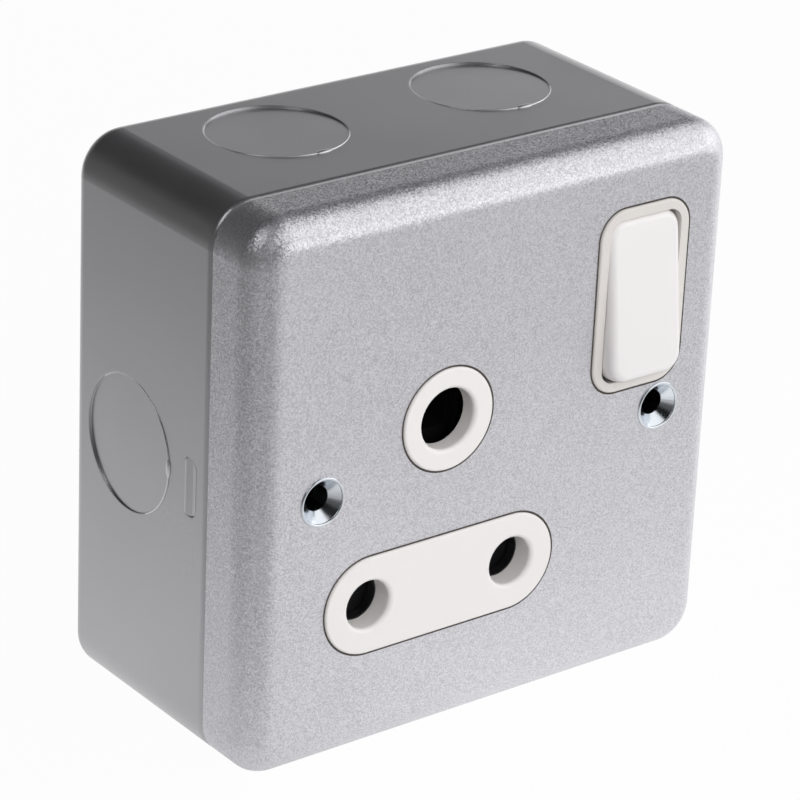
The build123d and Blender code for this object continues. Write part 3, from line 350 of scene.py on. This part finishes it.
for side, name in ((-1, "left"), (1, "right")):
    bpy.ops.object.select_all(action="DESELECT")
    bpy.ops.mesh.primitive_plane_add(size=1.0)
    mark = bpy.context.object
    mark.name = f"lug_mark_{name}"
    bpy.ops.object.mode_set(mode="EDIT")
    bpy.ops.transform.resize(value=(MARK_BACK - MARK_FRONT, MARK_HIGH - MARK_LOW, 1))
    bpy.ops.mesh.select_all(action="DESELECT")
    bpy.ops.object.mode_set(mode="OBJECT")
    for vertex in mark.data.vertices:
        vertex.select = vertex.co.x > 0
    bpy.ops.object.mode_set(mode="EDIT")
    bpy.ops.mesh.bevel(affect="VERTICES", offset=MARK_CORNER, segments=8)
    bpy.ops.object.mode_set(mode="OBJECT")
    slope = (MARK_PROUD + MARK_SUNK) / (MARK_BACK - MARK_FRONT)
    for vertex in mark.data.vertices:
        across, along = vertex.co.x, vertex.co.y
        out = WALL + (MARK_PROUD - MARK_SUNK) / 2 - slope * across
        vertex.co = (side * out, (MARK_BACK + MARK_FRONT) / 2 - across,
                     (MARK_LOW + MARK_HIGH) / 2 + along)
    if side > 0:
        mark.data.flip_normals()
    bpy.ops.object.select_all(action="DESELECT")
    bpy.ops.mesh.primitive_cylinder_add(
        vertices=16, radius=RIDGE, depth=MARK_HIGH - MARK_LOW - RIDGE_SHORT,
        location=(side * WALL, MARK_BACK - RIDGE_FORWARD, (MARK_LOW + MARK_HIGH) / 2))
    ridge = bpy.context.object
    ridge.name = f"lug_ridge_{name}"
    bpy.ops.object.transform_apply(location=True, rotation=True, scale=True)
    bpy.ops.object.shade_smooth_by_angle(angle=math.radians(40))
    for piece, finish in ((mark, box_enamel), (ridge, bead_enamel)):
        piece.data.transform(Matrix.Scale(MM, 4))
        piece.data.materials.append(finish)
        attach(piece, "housing")


# Front plate
# Pressed steel in a silver enamel full of fine metal flake. Each flake lies a little askew and
# flashes or dims by itself, which gives the face its grain and the bevel its sparkle.
FLAKE = 0.17 * MM         # drawn about three times too coarse, so that the render shows it
FLAKE_TILT = 0.22         # how far a flake leans
PLATE_EDGE = 0.25 * MM
MOTTLE = 0.3              # share of the cloudy patches in the flakes' tint

flake_enamel = finish_of("metal_flake_enamel", Metallic=0.85, Roughness=0.42)
tree, shader, place = pattern_of(flake_enamel)
soft_edge = add_node(tree, "ShaderNodeBevel", samples=6, Radius=PLATE_EDGE)
flakes = add_node(tree, "ShaderNodeTexVoronoi", Scale=1 / FLAKE, links=[(place, "Vector")])
lean = add_node(tree, "ShaderNodeVectorMath", operation="SUBTRACT",
                links=[(flakes.outputs["Color"], 0)], values=[(1, (0.5, 0.5, 0.5))])
lean = add_node(tree, "ShaderNodeVectorMath", operation="SCALE", Scale=FLAKE_TILT,
                links=[(lean.outputs[0], 0)])
askew = add_node(tree, "ShaderNodeVectorMath", operation="ADD",
                 links=[(soft_edge.outputs[0], 0), (lean.outputs[0], 1)])
askew = add_node(tree, "ShaderNodeVectorMath", operation="NORMALIZE",
                 links=[(askew.outputs[0], 0)])
chance = add_node(tree, "ShaderNodeSeparateXYZ", links=[(flakes.outputs["Color"], 0)])
cloud = add_node(tree, "ShaderNodeTexNoise", Scale=1 / CLOUD, Detail=3, links=[(place, "Vector")])
mottle = add_node(tree, "ShaderNodeMath", operation="MULTIPLY_ADD",
                  links=[(cloud.outputs["Fac"], 0), (chance.outputs["X"], 2)],
                  values=[(1, MOTTLE)])
tint = add_node(tree, "ShaderNodeMix", data_type="RGBA", links=[(mottle.outputs[0], "Factor")],
                values=[(FIRST, linear("#bcbbc2")), (SECOND, linear("#e1e0e4"))])
tree.links.new(tint.outputs[2], shader.inputs["Base Color"])
tree.links.new(askew.outputs[0], shader.inputs["Normal"])
wear(flake_enamel, "front_plate")


# Eyelets
# Turned mild steel, bright zinc plated and then clinched. The lathe has left fine rings round
# the cone, which break its reflections into streaks.
SCREW_X = 30.15 * MM
LATHE_RING = 0.16 * MM    # spacing of the tool marks
TOOL_MARK = 0.004 * MM    # depth of the tool marks
ZINC_PATCH = 1.4 * MM     # size of its duller patches
WAVE_LENGTH = 0.314       # of the wave texture at a scale of 1

zinc = finish_of("bright_zinc_plate", Base_Color=linear("#dde2e8"), Metallic=1.0)
tree, shader, place = pattern_of(zinc)
sides = add_node(tree, "ShaderNodeVectorMath", operation="ABSOLUTE", links=[(place, 0)])
from_axis = add_node(tree, "ShaderNodeVectorMath", operation="SUBTRACT",
                     links=[(sides.outputs[0], 0)], values=[(1, (SCREW_X, 0, 0))])
rings = add_node(tree, "ShaderNodeTexWave", wave_type="RINGS", rings_direction="Y",
                 Scale=WAVE_LENGTH / LATHE_RING, Distortion=0.6, Detail=1.0,
                 links=[(from_axis.outputs[0], "Vector")])
marks = add_node(tree, "ShaderNodeBump", Strength=0.3, Distance=TOOL_MARK,
                 links=[(rings.outputs["Fac"], "Height")])
dull = add_node(tree, "ShaderNodeTexNoise", Scale=1 / ZINC_PATCH, Detail=2,
                links=[(place, "Vector")])
rough = add_node(tree, "ShaderNodeMapRange", To_Min=0.12, To_Max=0.26,
                 links=[(dull.outputs["Fac"], "Value")])
tree.links.new(rough.outputs[0], shader.inputs["Roughness"])
tree.links.new(marks.outputs[0], shader.inputs["Normal"])
wear(zinc, "eyelet_left", "eyelet_right", "assembly_screws", "earth_strap", "box_earth_screw")


# Front moulding and rocker
# White urea formaldehyde, pressed hot in polished tools. It is dense and slightly warm in
# colour with a soft gloss, and the rocker's face comes from a brighter tool than the frame.
MOULD_GRAIN = 0.5 * MM
GRAIN_HIGH = 0.005 * MM
MOULD_EDGE = 0.12 * MM
FRAME_FROM = 16.0 * MM    # to the right of this the moulding is the switch's frame, a bit duller
FRAME_BLEND = 0.5 * MM
UREA_IOR = 1.55

white_urea = finish_of("white_urea_moulding", IOR=UREA_IOR, Roughness=0.36)
tree, shader, place = pattern_of(white_urea)
where = add_node(tree, "ShaderNodeSeparateXYZ", links=[(place, 0)])
at_switch = add_node(tree, "ShaderNodeMapRange", From_Min=FRAME_FROM,
                     From_Max=FRAME_FROM + FRAME_BLEND, links=[(where.outputs["X"], "Value")])
tint = add_node(tree, "ShaderNodeMix", data_type="RGBA", links=[(at_switch.outputs[0], "Factor")],
                values=[(FIRST, linear("#f4f1ef")), (SECOND, linear("#e2ddd9"))])
soft_edge = add_node(tree, "ShaderNodeBevel", samples=4, Radius=MOULD_EDGE)
grain = add_node(tree, "ShaderNodeTexNoise", Scale=1 / MOULD_GRAIN, Detail=2,
                 links=[(place, "Vector")])
skin = add_node(tree, "ShaderNodeBump", Strength=0.15, Distance=GRAIN_HIGH,
                links=[(grain.outputs["Fac"], "Height"), (soft_edge.outputs[0], "Normal")])
tree.links.new(tint.outputs[2], shader.inputs["Base Color"])
tree.links.new(skin.outputs[0], shader.inputs["Normal"])
wear(white_urea, "front_moulding")

rocker_urea = finish_of("polished_white_urea", Base_Color=linear("#f3f0f0"), IOR=UREA_IOR,
                        Roughness=0.26)
wear(rocker_urea, "rocker")


# Rear moulding, shutter and plungers
# Black phenolic, hot pressed like the white parts and glossy where the tool was polished. The
# line and neutral holes show the shutter's smooth face as a dark mirror.
PHENOLIC_GRAIN = 0.006 * MM    # height of its moulded grain

phenolic = finish_of("black_phenolic_moulding", Base_Color=linear("#151517"), IOR=1.6,
                     Roughness=0.3)
tree, shader, place = pattern_of(phenolic)
grain = add_node(tree, "ShaderNodeTexNoise", Scale=1 / MOULD_GRAIN, Detail=2,
                 links=[(place, "Vector")])
skin = add_node(tree, "ShaderNodeBump", Strength=0.2, Distance=PHENOLIC_GRAIN,
                links=[(grain.outputs["Fac"], "Height")])
tree.links.new(skin.outputs[0], shader.inputs["Normal"])
wear(phenolic, "base_moulding", "shutter", "plunger_neutral", "plunger_line")


# Collars in the line and neutral holes
# The rear moulding reaches into the two holes with a thin black collar, so the white ends a
# little way in.
COLLAR_DEEP = 3.5 * MM    # from the insert's front to the collar
COLLAR_LONG = 1.6 * MM
COLLAR_RADIUS = 3.68 * MM
COLLAR_WALL = 0.2 * MM
INSERT_FRONT = -44.8 * MM
HOLES_Z = -18.2 * MM

for name, x in (("neutral", -21.63 * MM), ("line", 3.77 * MM)):
    bpy.ops.object.select_all(action="DESELECT")
    bpy.ops.mesh.primitive_cylinder_add(
        vertices=72, radius=COLLAR_RADIUS, depth=COLLAR_LONG, end_fill_type="NOTHING",
        location=(x, INSERT_FRONT + COLLAR_DEEP + COLLAR_LONG / 2, HOLES_Z),
        rotation=(math.pi / 2, 0, 0))
    collar = bpy.context.object
    collar.name = f"hole_collar_{name}"
    bpy.ops.object.transform_apply(location=True, rotation=True, scale=True)
    wall = collar.modifiers.new("wall", "SOLIDIFY")
    wall.thickness = COLLAR_WALL
    wall.offset = -1
    bpy.ops.object.modifier_apply(modifier="wall")
    bpy.ops.object.shade_smooth_by_angle(angle=math.radians(40))
    collar.data.materials.append(phenolic)
    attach(collar, "housing")


# Painted shade round the inserts
# A thin dark ring lies just clear of the plate's face round each insert: painted shade for the
# gap and the plate's rounded cut edge. It is set a little to the right and down, so the painted
# line shows a little wider at the right and below.
GAP = 0.30                # width of the line, in millimetres
GAP_ASIDE = (0.11, -0.06) # how far the line's outline lies to the right and above
FACE = 44.41              # just clear of the plate's face
CORNER_SHARE = 0.999      # of a full round corner, so that its ends don't meet
# name, middle, width, height and corner radius of the insert
INSERTS = (("earth", -8.93, 7.4, 15.56, 15.56, 7.78),
           ("capsule", -8.93, -18.2, 40.44, 15.04, 7.52),
           ("switch", 25.2, 18.45, 16.4, 28.3, 4.4))

# The rings' dark brown grey is painted shade, not a colour of the plate or the inserts.
dust = finish_of("painted_shade_in_gaps", Base_Color=linear("#4c4742"), Roughness=0.9)
for name, x, z, width, height, corner in INSERTS:
    bpy.ops.object.select_all(action="DESELECT")
    bpy.ops.mesh.primitive_plane_add(size=1.0)
    gap = bpy.context.object
    gap.name = f"gap_{name}"
    bpy.ops.object.mode_set(mode="EDIT")
    bpy.ops.transform.resize(value=(width + 2 * GAP, height + 2 * GAP, 1))
    bpy.ops.mesh.bevel(affect="VERTICES", offset=(corner + GAP) * CORNER_SHARE, segments=24)
    bpy.ops.mesh.inset(thickness=GAP)
    bpy.ops.mesh.delete(type="FACE")
    bpy.ops.object.mode_set(mode="OBJECT")
    middle = Matrix.Translation((x + GAP_ASIDE[0], -FACE, z + GAP_ASIDE[1]))
    gap.data.transform(Matrix.Scale(MM, 4) @ middle @ Matrix.Rotation(math.pi / 2, 4, "X"))
    gap.data.materials.append(dust)
    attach(gap, "housing")


# Contact tubes, terminals and the box's earth post
# Free cutting brass, turned and milled, gone slightly brown in the air. Tool marks run across
# the blocks and tubes as fine lines.
TOOL_LINE = 0.25 * MM     # spacing of the tool marks
BRASS_PATCH = 3 * MM      # size of its browner patches

brass = finish_of("turned_brass", Metallic=1.0, Roughness=0.28)
tree, shader, place = pattern_of(brass)
patch = add_node(tree, "ShaderNodeTexNoise", Scale=1 / BRASS_PATCH, Detail=3,
                 links=[(place, "Vector")])
tint = add_node(tree, "ShaderNodeMix", data_type="RGBA", links=[(patch.outputs["Fac"], "Factor")],
                values=[(FIRST, linear("#b8923f")), (SECOND, linear("#d9bd74"))])
lines = add_node(tree, "ShaderNodeTexWave", bands_direction="Y", Scale=WAVE_LENGTH / TOOL_LINE,
                 Distortion=0.8, links=[(place, "Vector")])
marks = add_node(tree, "ShaderNodeBump", Strength=0.3, Distance=TOOL_MARK,
                 links=[(lines.outputs["Fac"], "Height")])
tree.links.new(tint.outputs[2], shader.inputs["Base Color"])
tree.links.new(marks.outputs[0], shader.inputs["Normal"])
wear(brass, "box_earth_post")
for pole in ("neutral", "line", "earth"):
    wear(brass, f"tube_{pole}", f"terminal_block_{pole}", f"terminal_screw_{pole}")


# Bars, strips and contact blades
# Hard rolled copper, blanked and bent. Rolling leaves long faint streaks, and handling gives
# it a patchy reddish brown.
STREAK = 0.3 * MM         # width of a streak
STREAK_LONG = 0.08        # its width as a share of its length

copper = finish_of("rolled_copper", Metallic=1.0, Roughness=0.32)
tree, shader, place = pattern_of(copper)
stretch = add_node(tree, "ShaderNodeMapping", Scale=(1, 1, STREAK_LONG),
                   links=[(place, "Vector")])
streaks = add_node(tree, "ShaderNodeTexNoise", Scale=1 / STREAK, Detail=2,
                   links=[(stretch.outputs[0], "Vector")])
tint = add_node(tree, "ShaderNodeMix", data_type="RGBA",
                links=[(streaks.outputs["Fac"], "Factor")],
                values=[(FIRST, linear("#a8654a")), (SECOND, linear("#d98f6c"))])
tree.links.new(tint.outputs[2], shader.inputs["Base Color"])
for pole in ("neutral", "line"):
    wear(copper, f"busbar_{pole}", f"fixed_strip_{pole}", f"contact_blade_{pole}")


# Contact tips
# Fine silver rivets, already a little dulled. The fixed ones have a domed head, which meets
# the flat face of the moving ones.
silver = finish_of("fine_silver", Base_Color=linear("#e4e2dc"), Metallic=1.0, Roughness=0.22)
wear(silver, "moving_tips", "fixed_tips")


# Springs
# Patented carbon steel wire, drawn through dies, which leave it smooth and grey, and coiled
# cold. One stands above the shutter's ramp and one behind each plunger, in the rocker's bore.
wire = finish_of("drawn_spring_wire", Base_Color=linear("#8f9196"), Metallic=1.0, Roughness=0.25)
wear(wire, "shutter_spring", "plunger_spring_neutral", "plunger_spring_line")


scene = bpy.context.scene
scene.view_settings.view_transform = "Standard"
